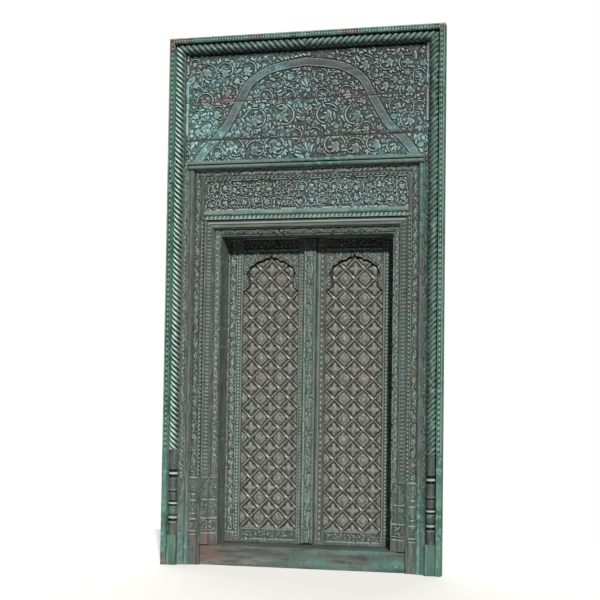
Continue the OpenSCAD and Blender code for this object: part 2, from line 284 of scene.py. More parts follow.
def fill_holes(bm):
    """Closes every open rim; gives the new faces."""
    rim = [e for e in bm.edges if e.is_boundary]
    return bmesh.ops.holes_fill(bm, edges=rim, sides=0)["faces"]


def in_scene(name, data):
    obj = bpy.data.objects.new(name, data)
    bpy.context.scene.collection.objects.link(obj)
    return obj


def finished(bm, name, body, material, slot, nodes=()):
    """Turns a closed bmesh into a piece that rides on a body and stands for CAD nodes."""
    bmesh.ops.recalc_face_normals(bm, faces=bm.faces)
    unpainted_back = any(f.material_index for f in bm.faces)
    mesh = bpy.data.meshes.new(name)
    bm.to_mesh(mesh)
    bm.free()
    mesh.shade_smooth()
    mesh.set_sharp_from_angle(angle=math.radians(55))
    mesh.materials.append(material)
    if unpainted_back:
        crosswise = material in (CARVED_ACROSS, ROPE_ACROSS, FIELD_TIMBER, SILL_TIMBER)
        mesh.materials.append(BACK_ACROSS if crosswise else BACK)
    obj = in_scene(name, mesh)
    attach(obj, body)
    if nodes:
        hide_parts(*nodes)
    return obj


def trim_to(bm, outline):
    """Removes the faces outside an outline and eases the new rim onto it."""
    border = {v for v in bm.verts if v.is_boundary}
    outside = [f for f in bm.faces
               if outline(f.calc_center_median().x, f.calc_center_median().z) < 0]
    bmesh.ops.delete(bm, geom=outside, context="FACES")
    eps = 0.2 * MM
    for v in {v for v in bm.verts if v.is_boundary} - border:
        for _ in range(2):
            off = outline(v.co.x, v.co.z)
            gx = (outline(v.co.x + eps, v.co.z) - off) / eps
            gz = (outline(v.co.x, v.co.z + eps) - off) / eps
            steep = gx * gx + gz * gz
            if abs(off) < 4 * MM and steep > 0.2:
                v.co.x -= off * gx / steep
                v.co.z -= off * gz / steep


def board(name, node, body, relief, depth, material, slot="carved_timber", side=1,
          outline=None):
    """Flat board with its relief on the front, run straight back."""
    low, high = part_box(node)
    start = low.x if side > 0 else high.x
    sunk = (1 - relief.h) * depth
    x = np.broadcast_to(start + side * relief.x[None, :], sunk.shape)
    z = np.broadcast_to(low.z + relief.z[:, None], sunk.shape)
    bm, _ = carved_grid(relief, (x, low.y + sunk, z))
    if outline is not None:
        trim_to(bm, outline)
    rim = [e for e in bm.edges if e.is_boundary]
    wall = bmesh.ops.extrude_edge_only(bm, edges=rim)["geom"]
    for v in wall:
        if isinstance(v, bmesh.types.BMVert):
            v.co.y = high.y
    for face in fill_holes(bm):
        face.material_index = 1
    return finished(bm, name, body, material, slot, [node])


def round_points(cu, cd, radius, count=9, first=180, last=0):
    """Points of a half-round moulding's section, from its lower side to its upper."""
    turn = [math.radians(first + (last - first) * k / count) for k in range(count + 1)]
    return [(cu + radius * math.cos(a), cd - radius * math.sin(a)) for a in turn]


class Moulding:
    """Run of moulding: a section in millimetres of distance out and depth, with a relief."""

    def __init__(self, section, back, length, step=COARSE):
        pts, normals, self.knots = [], [], [0.0]
        section = np.array(section, float) * MM
        for a, b in zip(section[:-1], section[1:]):
            span = np.hypot(*(b - a))
            n = max(1, round(span / step))
            normal = np.array([b[1] - a[1], a[0] - b[0]]) / span
            for k in range(n):
                pts.append(a + (b - a) * k / n)
                normals.append(normal)
            self.knots.append(self.knots[-1] + span)
        pts.append(section[-1])
        normals.append(normals[-1])
        inner = (section[0][0], back * MM)
        outer = (section[-1][0], back * MM)
        self.pts = np.array([inner, *pts, outer])
        flat = np.array(normals)
        soft = flat.copy()
        soft[1:] += flat[:-1]
        soft /= np.maximum(np.hypot(*soft.T), 1e-6)[:, None]
        self.normals = np.vstack([[0, 0], soft, [0, 0]])
        steps = np.hypot(*np.diff(self.pts, axis=0).T)
        along = np.concatenate([[0], np.cumsum(steps)])
        self.relief = Relief(along - along[1], length, step)

    def shaped(self, depth, lean):
        """Distance out, depth and distance along for every point of the grid."""
        sunk = (1 - self.relief.h) * depth
        u = self.pts[:, 0] - self.normals[:, 0] * sunk
        d = self.pts[:, 1] - self.normals[:, 1] * sunk
        reach = self.relief.x[-2]
        t = self.relief.z[:, None] + lean * (np.clip(self.relief.x, 0, reach) - reach / 2)
        return u, d, t

    def closed(self, xyz, cuts, *piece):
        """Closes the placed grid into a solid and saws it off at each cut."""
        bm, column = carved_grid(self.relief, xyz)
        bm.verts.ensure_lookup_table()
        last = len(self.relief.x) - 1
        joined = [e for e in bm.edges
                  if {column[v.index] for v in e.verts} in ({0}, {last})]
        for face in bmesh.ops.bridge_loops(bm, edges=joined)["faces"]:
            face.material_index = 1
        fill_holes(bm)
        for point, normal in cuts:
            bmesh.ops.bisect_plane(bm, geom=bm.verts[:] + bm.edges[:] + bm.faces[:],
                                   dist=1e-6, plane_co=point, plane_no=normal,
                                   clear_outer=True)
            fill_holes(bm)
        return finished(bm, *piece)

    def upright(self, side, x_in, z0, depth, *piece, mitre=None, lean=0.0, levels=()):
        """Stands on z0 on one side of the door; mitre is the height of its inner corner."""
        u, d, t = self.shaped(depth, lean)
        xyz = (side * (x_in + u), FRONT + d, z0 + t)
        cuts = [(Vector((0, 0, z)), Vector((0, 0, up))) for z, up in levels]
        if mitre is not None:
            cuts.append((Vector((side * x_in, 0, mitre)), Vector((-side, 0, 1))))
        return self.closed(xyz, cuts, *piece)

    def across(self, x_in, z0, depth, *piece, mitred=True, lean=0.0, side=0):
        """Lies across the door above z0, mitred from x_in at its lower edge.

        With a side it is the half on that side, cut square at the middle of the door.
        """
        u, d, t = self.shaped(depth, lean)
        centre = side * (self.relief.z[-1] / 2 - 0.06)
        xyz = (t - self.relief.z[-1] / 2 + centre, FRONT + d, z0 + u)
        cuts = []
        if side:
            cuts.append((Vector((0, 0, 0)), Vector((-side, 0, 0))))
        for end in (-1, 1) if mitred else ():
            if side in (0, end):
                cuts.append((Vector((end * x_in, 0, z0)), Vector((end, 0, -1))))
        return self.closed(xyz, cuts, *piece)


# ---------------------------------------------------------------- finishes

class Finish:
    """One procedural material, built node by node on Object coordinates."""

    def __init__(self, name, roughness=0.8):
        self.material = bpy.data.materials.new(name)
        self.material.use_nodes = True
        self.nodes = self.material.node_tree.nodes
        self.links = self.material.node_tree.links
        self.shader = self.nodes["Principled BSDF"]
        self.shader.inputs["Roughness"].default_value = roughness
        self.shader.inputs["Specular IOR Level"].default_value = 0.35
        self.coords = self.nodes.new("ShaderNodeTexCoord").outputs["Object"]

    def add(self, kind, inputs, **settings):
        node = self.nodes.new(kind)
        for key, value in settings.items():
            setattr(node, key, value)
        for key, value in inputs.items():
            if isinstance(value, bpy.types.NodeSocket):
                self.links.new(value, node.inputs[key])
            else:
                node.inputs[key].default_value = value
        return node

    def noise(self, scale, detail=4, stretch=(1, 1, 1), roughness=0.6):
        mapped = self.add("ShaderNodeMapping", {"Vector": self.coords, "Scale": stretch})
        node = self.add("ShaderNodeTexNoise", {"Vector": mapped.outputs[0], "Scale": scale,
                                               "Detail": detail, "Roughness": roughness})
        return node.outputs["Fac"]

    def attribute(self, name):
        return self.add("ShaderNodeAttribute", {}, attribute_name=name).outputs["Fac"]

    def span(self, value, low, high, to_low=0.0, to_high=1.0):
        """Spreads a stretch of values over 0 to 1, clamped."""
        node = self.add("ShaderNodeMapRange", {"Value": value, "From Min": low,
                                               "From Max": high, "To Min": to_low,
                                               "To Max": to_high},
                        interpolation_type="SMOOTHSTEP")
        return node.outputs["Result"]

    def sums(self, a, b, kind="ADD", factor=1.0):
        """Adds a share of b to a, or joins them by another operation."""
        node = self.add("ShaderNodeMath", {0: b, 1: factor}, operation="MULTIPLY")
        return self.add("ShaderNodeMath", {0: a, 1: node.outputs[0]},
                        operation=kind).outputs[0]

    def blend(self, factor, a, b, kind="MIX"):
        """Mixes two colours; each may be three numbers or a socket."""
        a = (*a, 1.0) if isinstance(a, tuple) else a
        b = (*b, 1.0) if isinstance(b, tuple) else b
        node = self.add("ShaderNodeMix", {0: factor, 6: a, 7: b}, data_type="RGBA",
                        blend_type=kind)
        return node.outputs[2]

    def done(self, colour, height, distance, rough):
        """Wires colour, roughness and bump to the shader and gives the material."""
        self.links.new(colour, self.shader.inputs["Base Color"])
        self.links.new(rough, self.shader.inputs["Roughness"])
        bump = self.add("ShaderNodeBump", {"Height": height, "Distance": distance,
                                           "Strength": 1.0})
        self.links.new(bump.outputs[0], self.shader.inputs["Normal"])
        return self.material


PAINT_DEEP = (0.026, 0.066, 0.056)
PAINT_MID = (0.058, 0.132, 0.118)
PAINT_PALE = (0.205, 0.330, 0.300)
TIMBER_DARK = (0.034, 0.041, 0.038)
TIMBER_PALE = (0.094, 0.107, 0.098)
TIMBER_RED = (0.120, 0.068, 0.056)
TIMBER_RAW = (0.240, 0.160, 0.115)
# Near black: painted shade in the carving's hollows.
PAINTED_SHADE = (0.006, 0.008, 0.007)
# Pale: a painted highlight on ridges, partly worn paint; also the colour of random flecks.
HIGHLIGHT_AND_FLECK = (0.270, 0.330, 0.295)


def carved_finish(name, stretch=(1, 1, 0.2), wear_and_highlight_share=0.4, painted_shade_share=0.8, sheen=0.0,
                  tint=(1, 1, 1), pale=PAINT_PALE):
    """Green paint worn back to weathered timber, driven by the carving's own fields, with painted
    shade in the hollows and pale on the ridges that is partly wear, partly a painted highlight.
    """
    f = Finish(name)
    relief, crest, bare, tone = (f.attribute(k) for k in ("relief", "crest", "bare", "tone"))
    blotch = f.noise(5.0, 3)
    flake = f.noise(38.0, 6, roughness=0.7)
    grain = f.noise(70.0, 5, stretch)
    speck = f.noise(170.0, 3)
    paint = f.blend(f.span(blotch, 0.35, 0.65), PAINT_DEEP, PAINT_MID)
    paint = f.blend(f.span(flake, 0.48, 0.68), paint, pale)
    timber = f.blend(f.span(grain, 0.30, 0.75), TIMBER_DARK, TIMBER_PALE)
    timber = f.blend(f.span(f.noise(9.0, 4), 0.60, 0.74, 0.0, 0.3), timber, TIMBER_RED)
    worn = f.sums(bare, f.sums(flake, blotch, factor=0.8), factor=0.9)
    worn = f.sums(worn, crest, factor=0.35)
    colour = f.blend(f.span(worn, 1.05, 1.45), paint, timber)
    raw = f.sums(bare, f.noise(34.0, 6, stretch, 0.7), factor=1.4)
    colour = f.blend(f.span(raw, 1.58, 1.82, 0.0, 0.7), colour, TIMBER_RED)
    colour = f.blend(f.span(raw, 1.95, 2.12), colour, TIMBER_RAW)
    # Pale on the ridges: partly worn paint, partly a painted highlight.
    colour = f.blend(f.span(crest, 0.54, 0.84, 0.0, wear_and_highlight_share), colour, HIGHLIGHT_AND_FLECK)
    # Painted shade: the hollows darken towards near black the deeper they are cut.
    colour = f.blend(f.span(relief, 0.5, 0.02, 0.0, painted_shade_share), colour, PAINTED_SHADE)
    # Pale flecks at random, in the same colour as the painted highlight.
    colour = f.blend(f.span(speck, 0.58, 0.72, 0.0, 0.30), colour, HIGHLIGHT_AND_FLECK)
    # Tone scales the colour: the piece's own colour in places, painted highlight and painted shade
    # in others.
    colour = f.blend(1.0, f.blend(1.0, colour, tint, "MULTIPLY"), tone, "MULTIPLY")
    height = f.sums(grain, speck, factor=0.8)
    rough = f.span(flake, 0.3, 0.7, 0.62 - sheen, 0.92 - sheen)
    return f.done(colour, height, 0.6 * MM, rough)


def plain_finish(name, dark, mid, pale, chip, chips=0.7, stretch=(1, 1, 0.12)):
    """Flat timber or paint with grain, blotches and chips."""
    f = Finish(name)
    flake = f.noise(30.0, 6, roughness=0.7)
    grain = f.noise(60.0, 5, stretch)
    colour = f.blend(f.span(f.noise(5.0, 3), 0.35, 0.65), dark, mid)
    colour = f.blend(f.span(grain, 0.50, 0.72), colour, pale)
    colour = f.blend(f.span(flake, chips, chips + 0.06), colour, chip)
    return f.done(colour, grain, 0.5 * MM, f.span(flake, 0.3, 0.7, 0.6, 0.9))


ALONG = (0.12, 1, 1)
CARVED_UP = carved_finish("carved upright timber", (1, 1, 0.2), 0.62, 0.92,
                          tint=(0.92, 0.93, 0.94))
CARVED_ACROSS = carved_finish("carved cross timber", ALONG, 0.5, 0.85,
                              tint=(0.94, 0.97, 0.98))
SILL_TIMBER = carved_finish("sill timber", ALONG, 0.3, 0.8, pale=(0.110, 0.205, 0.162))
EDGE_PAINT = carved_finish("edge strip paint", tint=(0.96, 1.06, 1.0),
                           pale=(0.155, 0.300, 0.245))
ROPE_UP = carved_finish("rope paint upright", (1, 1, 0.3), 0.75, 0.9, 0.2)
ROPE_SOFT = carved_finish("fresher rope paint", (1, 1, 0.3), 0.15, 0.55, 0.2)
ROPE_ACROSS = carved_finish("rope paint across", (0.3, 1, 1), 0.3, 0.85, 0.2)
FIELD_TIMBER = carved_finish("field timber", ALONG, 0.8, 0.9, tint=(0.98, 0.98, 1.07))
LATTICE_TIMBER = carved_finish("lattice timber", (1, 1, 0.5), 0.25, 0.95,
                               tint=(1.2, 1.08, 1.05))
PAINTED = plain_finish("worn green paint", PAINT_DEEP, (0.037, 0.078, 0.062),
                       (0.076, 0.143, 0.112), TIMBER_PALE)
BACK = plain_finish("rough back timber", (0.075, 0.055, 0.040), (0.14, 0.105, 0.075),
                    (0.22, 0.17, 0.12), (0.05, 0.035, 0.025), 0.5, (1, 1, 0.06))
BACK_ACROSS = plain_finish("rough cross timber", (0.095, 0.076, 0.060), (0.17, 0.135, 0.105),
                           (0.25, 0.205, 0.16), (0.06, 0.045, 0.035), 0.5, (0.06, 1, 1))
IRON = plain_finish("rusty iron", (0.03, 0.022, 0.018), (0.07, 0.04, 0.025),
                    (0.13, 0.06, 0.03), (0.02, 0.02, 0.02), stretch=(1, 1, 1))


# ---------------------------------------------------------------- rope mouldings and edge strips

ROPE_SECTION = [(0.3, 29), (0.8, 28), *round_points(26, 28, 22, 14), (52, 28), (52.7, 29)]
FOOT_PROFILE = [(143, 21), (206, 21), (209, 20), (212, 17), (215, 13), (223, 13),
                (225, 22), (235, 22), (238, 17), (244, 16), (247, 19), (284, 20),
                (286, 13), (292, 13), (294, 22), (303, 22), (306, 14), (311, 14),
                (314, 18), (350, 19), (354, 15), (357, 15), (360, 21), (370, 21),
                (374, 18), (420, 19), (425, 17), (428, 13), (437, 13), (439, 22),
                (450, 22), (452, 13), (462, 13), (466, 20), (500, 20), (560, 18)]
FOOT_BEADS = 365 * MM


def rope_moulding(length, pitch, tone, gleam, shading):
    """Board with a twisted half-round on it; the grid leans with the strands."""
    run = Moulding(ROPE_SECTION, ROPE_BACK, length, pitch / 9)
    r = run.relief
    strand = (r.z / pitch) % 1.0
    ridge = np.interp(strand, (0, 0.12, 0.45, 0.60, 0.72, 0.90, 1), (0, 0.1, 0.7, 1, 0.95, 0.3, 0))
    rope = run.pts[:, 1] < 27.9 * MM
    r.h = np.where(rope[None, :], ridge[:, None], 0.6)
    r.bare[:] = 0.05
    # Painted gleam, held in worn: a painted highlight along the upper side of each strand, not
    # wear.
    worn = gleam * np.exp(-((strand - 0.70) / 0.16) ** 2)[:, None]
    side_on = np.interp(r.x / r.x[-2], (0, 0.25, 0.45, 1), shading)[None, :]
    r.tone = tone * side_on * (0.75 + worn)
    return run


def rope_foot(node, side):
    """Turned foot of the rope column, with its board."""
    run = Moulding(ROPE_SECTION, ROPE_BACK, ROPE_START, 3.0 * MM)
    r = run.relief
    radius = np.interp(r.z / MM, *zip(*FOOT_PROFILE))
    rounded = (run.pts[:, 1] < 27.9 * MM)[None, :]
    r.h = np.where(rounded, (1 - (22 - radius) / 9)[:, None], 0.6)
    reach = r.x[-2] / 2
    for k in range(-5, 6):
        r.bead(reach + k * 6.5 * MM, FOOT_BEADS, 3.6 * MM, 1.05)
    flutes = 0.10 * np.cos((r.x - reach) / (9 * MM) * 2 * math.pi)[None, :]
    vase = (r.z > 0.464)[:, None]
    r.h = np.where(rounded & vase, r.h - 0.08 + flutes, r.h)
    window = r.zone(reach - 30 * MM, reach + 30 * MM, 150 * MM, 202 * MM)
    r.h[window] -= 0.5 * blur(rng.uniform(0, 1, r.h[window].shape), 1)
    r.bare[:] = 0.45
    r.bare -= 0.4 * np.exp(-((r.z - 0.262) / 0.02) ** 2)[:, None]
    worn = 1.0 if side < 0 else 0.85
    # Painted light in the tone: the sunk rings are painted dark as painted shade, the widest rings
    # pale as painted highlight.
    r.tone[:] = worn * np.interp(radius, (13, 17, 18, 21, 22),
                                 (0.1, 0.2, 0.76, 0.76, 1.45))[:, None]
    run.upright(side, ROPE_X, 0.0, 9 * MM, node + "_foot", "surround", CARVED_UP,
                "painted_timber")


def square_block(name, width, depth, height, place, material):
    """Upright block with eased edges."""
    block = bmesh.new()
    bmesh.ops.create_cube(block, size=1)
    bmesh.ops.scale(block, vec=(width, depth, height), verts=block.verts)
    bmesh.ops.translate(block, verts=block.verts, vec=place)
    bmesh.ops.bevel(block, geom=block.edges[:], offset=2.5 * MM, affect="EDGES",
                    segments=3, profile=0.5, material=-1)
    return finished(block, name, "surround", material, "painted_timber")


# Tone, painted gleam on the strands, shading round the rope, depth of the strands, and paint.
ROPE_LOOKS = {"left": (1.05, 0.95, (0.45, 0.5, 1.2, 1.2), 7.5 * MM, ROPE_UP),
              "right": (0.78, 0.2, (0.8, 1, 1, 1.1), 4.5 * MM, ROPE_SOFT)}


def build_rope():
    for key, side in SIDES.items():
        node = f"rope_post_{key}"
        tone, gleam, shading, depth, material = ROPE_LOOKS[key]
        run = rope_moulding(ROPE_TOP_Z - ROPE_START + 0.3, ROPE_PITCH, tone, gleam, shading)
        run.upright(side, ROPE_X, ROPE_START - 0.1, depth, node + "_rope", "surround",
                    material, "painted_timber", [node], mitre=ROPE_TOP_Z, lean=ROPE_LEAN,
                    levels=[(ROPE_START, -1)])
        rope_foot(node, side)
        square_block(node + "_block", 48 * MM, 25 * MM, BLOCK_TOP - 8 * MM,
                     (side * (ROPE_X + 26 * MM), FRONT + 16.5 * MM, BLOCK_TOP / 2 - 4 * MM),
                     PAINTED)
        run = rope_moulding(EDGE_X + 0.15, 30 * MM, 0.8, 0.35, (0.5, 0.7, 1.2, 1))
        run.across(ROPE_X, ROPE_TOP_Z, 6 * MM, f"rope_beam_{key}_half", "surround",
                   ROPE_ACROSS, "painted_timber", ["rope_beam_top"], lean=side * ROPE_LEAN,
                   side=side)


EDGE_SECTION = [(0.2, 1.5), (1.5, 0), (23, 0), (24.8, 2)]


def edge_moulding(length, pitch, tone, raw, plain=-1.0):
    """Outer strip with a row of beads; raw names the places worn bare."""
    run = Moulding(EDGE_SECTION, ROPE_BACK, length, 3.3 * MM)
    r = run.relief
    r.level(0.0, 4 * MM, 18 * MM)
    for cz in np.arange(0, length, pitch):
        r.bead(11 * MM, cz, 6.5 * MM, 1.0, pitch / (18 * MM))
    r.level(1.0, 0, 1, -1, plain)
    r.bare[:] = 0.12
    r.tone[:] = tone
    r.tone[r.z < plain] *= 0.85
    for at in raw:
        r.bare += 1.15 * np.exp(-((r.z - at) / (28 * MM)) ** 2)[:, None]
    return run


def build_edges():
    for key, side in SIDES.items():
        node = f"edge_strip_{key}"
        raw = (EDGE_TOP_Z - 10 * MM, 0.02) if side < 0 else (EDGE_TOP_Z + 20 * MM,)
        edge_moulding(EDGE_TOP_Z + 30 * MM, 24.5 * MM, 1.0, raw, ROPE_START).upright(
            side, EDGE_X, 0.0, (5 if side < 0 else 3) * MM, node + "_notched", "surround",
            EDGE_PAINT, "painted_timber", [node], mitre=EDGE_TOP_Z)
    edge_moulding(2 * EDGE_X + 60 * MM, 14 * MM, 1.3, (0.03, 0.09, 0.45, 0.93, 1.37)).across(
        EDGE_X, EDGE_TOP_Z, 4 * MM, "edge_strip_top_notched", "surround", CARVED_ACROSS,
        "painted_timber", ["edge_strip_top"])


# ---------------------------------------------------------------- bands of carving

def wavy_vine(r, x0, x1, z0, z1, pitch, hand=1):
    """Wavy stem up a band, with a spray of leaves in each bay."""
    mid, swing, wide = (x0 + x1) / 2, (x1 - x0) * 0.27, x1 - x0
    r.level(0.0, x0, x1, z0, z1)
    for k, cz in enumerate(np.arange(z0 + pitch / 4, z1, pitch / 2)):
        side = hand if k % 2 == 0 else -hand
        for lean in (0.4, 1.1, 1.8, 2.5):
            r.leaf(mid + side * swing * 0.6, cz - pitch * 0.1, wide * 0.62, wide * 0.3,
                   math.pi / 2 + side * lean)
        r.bead(mid - side * swing, cz + pitch * 0.16, wide * 0.12)
    z = np.arange(z0, z1, pitch / 20)
    wave = mid + hand * swing * np.sin(2 * math.pi * (z - z0) / pitch)
    r.vine(list(zip(wave, z)), 3.0 * MM, 0.95, 1.6 * MM)
    r.foliage(x0 + 2 * MM, x1 - 2 * MM, z0, z1, 8 * MM, lambda x, z: 1.3)


def leaf_sprays(r, x0, x1, z0, z1, pitch, hand=1):
    """Overlapping slanted sprays of leaves up a narrow band."""
    r.level(0.0, x0, x1, z0, z1)
    mid, wide = (x0 + x1) / 2, x1 - x0
    for k, cz in enumerate(np.arange(z0, z1, pitch / 5)):
        side = hand if k % 5 < 3 else -hand
        r.leaf(mid - side * wide * 0.42, cz, wide * 1.15, wide * 0.42,
               math.pi / 2 - side * rng.uniform(0.6, 1.0), rng.uniform(0.8, 1.0))
        r.leaf(mid + side * wide * 0.1, cz + pitch / 10, wide * 0.8, wide * 0.36,
               math.pi / 2 - side * rng.uniform(0.1, 0.5), rng.uniform(0.75, 1.0))
    r.foliage(x0 + 2 * MM, x1 - 2 * MM, z0, z1, 7 * MM, lambda x, z: 1.0)


def ring_chain(r, cx, radius, z0, z1, pitch):
    """Chain of rings with a flower in each and leaves at each joint."""
    for cz in np.arange(z0 + pitch / 2, z1, pitch):
        turn = [k * math.pi / 12 for k in range(25)]
        r.vine([(cx + radius * math.cos(a), cz + radius * math.sin(a)) for a in turn],
               2.8 * MM)
        r.rosette(cx, cz, radius * 0.66, 5, rng.uniform(0, 1))
        for side in (-1, 1):
            r.leaf(cx, cz + pitch / 2, radius * 0.95, radius * 0.5, math.pi / 2 - side * 1.25)
            r.leaf(cx, cz + pitch / 2, radius * 0.8, radius * 0.5, side * 1.1 - math.pi / 2)
    r.foliage(cx - radius, cx + radius, z0, z1, 8 * MM, lambda x, z: 1.0)


def pot(r, cx, z0, width, height):
    """Carved pot with leaves rising out of it."""
    r.bead(cx, z0 + height * 0.2, width * 0.46, 1.0, 0.5)
    r.bead(cx, z0 + height * 0.03, width * 0.38, 0.9, 0.25)
    r.bead(cx, z0 + height * 0.37, width * 0.36, 0.9, 0.2)
    for lean in (-0.8, -0.4, 0.0, 0.4, 0.8):
        r.leaf(cx, z0 + height * 0.4, height * (0.6 - 0.2 * abs(lean)), width * 0.32,
               math.pi / 2 + lean)


def footing(r, x0, x1, z0):
    """Plain block, a crossed flower and two panelled pots at the bottom of a band."""
    mid, wide = (x0 + x1) / 2, x1 - x0
    r.level(1.0, x0, x1, z0, z0 + 330 * MM)
    r.level(0.0, x0, x1, z0 + 54 * MM, z0 + 60 * MM)
    for low, high in ((66, 118), (128, 208), (218, 318)):
        r.level(0.15, x0 + 1.5 * MM, x1 - 1.5 * MM, z0 + low * MM, z0 + high * MM)
        r.bead(mid, z0 + (high + 4.5) * MM, 4 * MM, 1.0)
    for turn in (0.25, 0.75, 1.25, 1.75):
        r.lobed(mid, z0 + 92 * MM, min(wide * 0.62, 34 * MM), turn * math.pi, 0)
    pot(r, mid, z0 + 132 * MM, wide, 84 * MM)
    pot(r, mid, z0 + 222 * MM, wide * 0.95, 100 * MM)
    for low in (128, 218):
        for side in (-1, 1):
            r.lobed(mid + side * wide * 0.42, z0 + (low + 30) * MM, 26 * MM,
                    math.pi / 2 - side * 0.5, 0)
    r.foliage(x0 + 3 * MM, x1 - 2 * MM, z0 + 68 * MM, z0 + 318 * MM, 14 * MM,
              lambda x, z: 0.8 + 2 * math.sin(z * 50), 1.2 * MM)


# ---------------------------------------------------------------- jambs and heads

OUTER_SECTION = [(0, 46), *round_points(11, 46, 9), (22.6, 46), (23, 40), (46.8, 22)]


def patches(shape, reach, strength=1.0):
    """Broad random patches between -1 and 1."""
    field = blur(blur(rng.uniform(-1, 1, shape), reach), reach)
    return np.clip(strength * field / max(field.std(), 1e-9) / 1.5, -1, 1)


def stain(r, at, share):
    """Ruddy bare timber round a height, in patches."""
    spread = np.exp(-((r.z - at) / (70 * MM)) ** 2)[:, None]
    r.bare += share * spread * (0.7 + 0.5 * patches(r.h.shape, 4))


def build_outer_jambs():
    for key, side in SIDES.items():
        run = Moulding(OUTER_SECTION, JAMB_BACK, CORNICE_Z)
        r = run.relief
        x0, x1 = run.knots[-2] + 1.5 * MM, run.knots[-1] - 1.5 * MM
        mid = (x0 + x1) / 2
        leaf_sprays(r, x0, x1, 0.40, CORNICE_Z, 92 * MM, side)
        r.level(0.4, x0, x1, 0.15, 0.40)
        r.rosette(mid, 0.19, 14 * MM, 4, math.pi / 4)
        pot(r, mid, 0.22, 24 * MM, 80 * MM)
        pot(r, mid, 0.31, 22 * MM, 80 * MM)
        r.soften(0.8)
        r.bare[:] = 0.55
        r.bare[:, r.x < run.knots[-2]] = 0.48
        r.bare -= 0.12 * (side > 0)
        r.bare -= 0.35 * np.interp(r.z, (0, 0.25, 0.5, 1.4, 1.9), (1, 0.6, 0, 0, 0.6))[:, None]
        r.tone[:] = 1.05 if side < 0 else 1.0
        node = f"outer_jamb_{key}"
        run.upright(side, OUTER_X, 0.0, 5 * MM, node + "_carved", "surround", CARVED_UP,
                    "carved_timber", [node])
        stub = Moulding(OUTER_SECTION[-2:], JAMB_BACK, FIELD_Z - CORNICE_Z)
        leaf_sprays(stub.relief, 1.5 * MM, stub.knots[-1] - 1.5 * MM, 0, 0.04, 92 * MM, side)
        stub.relief.bare[:] = 0.5
        stub.upright(side, OUTER_X, CORNICE_Z, 4 * MM, node + "_strip_end", "surround",
                     CARVED_UP, "carved_timber")


MIDDLE_SECTION = [(0, 62), *round_points(7, 62, 5, 6), (13.6, 62), (14, 58), (53, 52)]


def build_middle():
    for key, side in SIDES.items():
        run = Moulding(MIDDLE_SECTION, JAMB_BACK, HEAD_Z + 60 * MM)
        r = run.relief
        x0, x1 = run.knots[-2] + 2 * MM, run.knots[-1] - 3 * MM
        wavy_vine(r, x0, x1, 0.43, HEAD_Z + 0.06, 115 * MM, side)
        footing(r, x0, x1, 0.10)
        bead_end = run.knots[-3]
        r.level(0.0, 0.5 * MM, bead_end, 0.43, 1.70)
        for cz in np.arange(0.44, 1.70, 20 * MM):
            r.bead(bead_end / 2, cz, bead_end * 0.46, 1.0, 1.0)
        r.soften(0.85)
        r.bare = np.full_like(r.h, 0.55 if side < 0 else 0.42)
        r.bare += 0.15 * patches(r.h.shape, (12, 3))
        r.tone[:] = 0.8 if side < 0 else 0.92
        stain(r, 0.14, 0.42 if side < 0 else 0.1)
        node = f"middle_jamb_{key}"
        run.upright(side, MIDDLE_X, 0.0, 5 * MM, node + "_carved", "surround", CARVED_UP,
                    "carved_timber", [node], mitre=HEAD_Z)
    run = Moulding(MIDDLE_SECTION, JAMB_BACK, 2 * OUTER_X + 20 * MM)
    r = run.relief
    x0, x1 = run.knots[-2] + 2 * MM, run.knots[-1] - 12 * MM
    leaf_sprays(r, x0, x1, 0, r.z[-1], 60 * MM)
    r.level(0.1, 0.5 * MM, run.knots[-3])
    r.beads(run.knots[-3] / 2, 6 * MM, 22 * MM, 4 * MM)
    r.bare[:] = 0.5
    run.across(MIDDLE_X, HEAD_Z, 6 * MM, "middle_head_carved", "surround", CARVED_ACROSS,
               "carved_timber", ["middle_head"])


INNER_SECTION = [(0, 102), (34, 82), (34.4, 76), (39.6, 76), (40, 68), (79, 68)]


def build_inner():
    for key, side in SIDES.items():
        run = Moulding(INNER_SECTION, INNER_BACK, OPENING_TOP - SILL_TOP + 90 * MM)
        r = run.relief
        slope0, slope1 = run.knots[0] + 2 * MM, run.knots[1] - 2 * MM
        band0, band1 = run.knots[4] + 1 * MM, run.knots[5]
        r.level(0.0, slope0, slope1, 0.345)
        ring_chain(r, (slope0 + slope1) / 2, 12.5 * MM, 0.345, r.z[-1], 30 * MM)
        mid = (band0 + band1) / 2
        r.level(0.1, band0 + 6 * MM, band1 - 6 * MM, 0.35)
        for cz in np.arange(0.35, r.z[-1], 18 * MM):
            r.bead(mid - 7 * MM, cz, 8 * MM, 1.0, 0.9)
            for lean in (-0.9, -0.3):
                r.leaf(mid, cz - 6 * MM, 17 * MM, 8 * MM, math.pi / 2 + lean, 0.9)
        footing(r, slope0, band1 - 2 * MM, 0.005)
        r.soften(0.85)
        r.bare = np.full_like(r.h, 0.5 if side < 0 else 0.42)
        r.bare += 0.15 * patches(r.h.shape, (12, 3))
        r.tone[:] = np.where(r.x < run.knots[1], *((0.95, 0.88) if side < 0 else (1.33, 0.68)))
        # Painted light: the reveal face is painted lighter towards its back, up to half as light
        # again.
        r.tone[:, 0] *= 1.5
        stain(r, 0.03, 0.45 if side < 0 else 0.2)
        node = f"inner_jamb_{key}"
        run.upright(side, INNER_X, SILL_TOP, 5 * MM, node + "_carved", "surround",
                    CARVED_UP, "carved_timber", [node], mitre=OPENING_TOP)
    run = Moulding(INNER_SECTION, INNER_BACK, 2 * MIDDLE_X + 20 * MM)
    r = run.relief
    leaf_sprays(r, run.knots[0] + 3 * MM, run.knots[1] - 2 * MM, 0, r.z[-1], 76 * MM)
    r.level(0.1, run.knots[4] + 13 * MM, run.knots[4] + 15 * MM)
    r.level(0.0, run.knots[4] + 26 * MM, run.knots[5] + 1)
    r.bare[:] = 0.45
    run.across(INNER_X, OPENING_TOP, 5 * MM, "inner_head_carved", "surround",
               CARVED_ACROSS, "carved_timber", ["inner_head"])


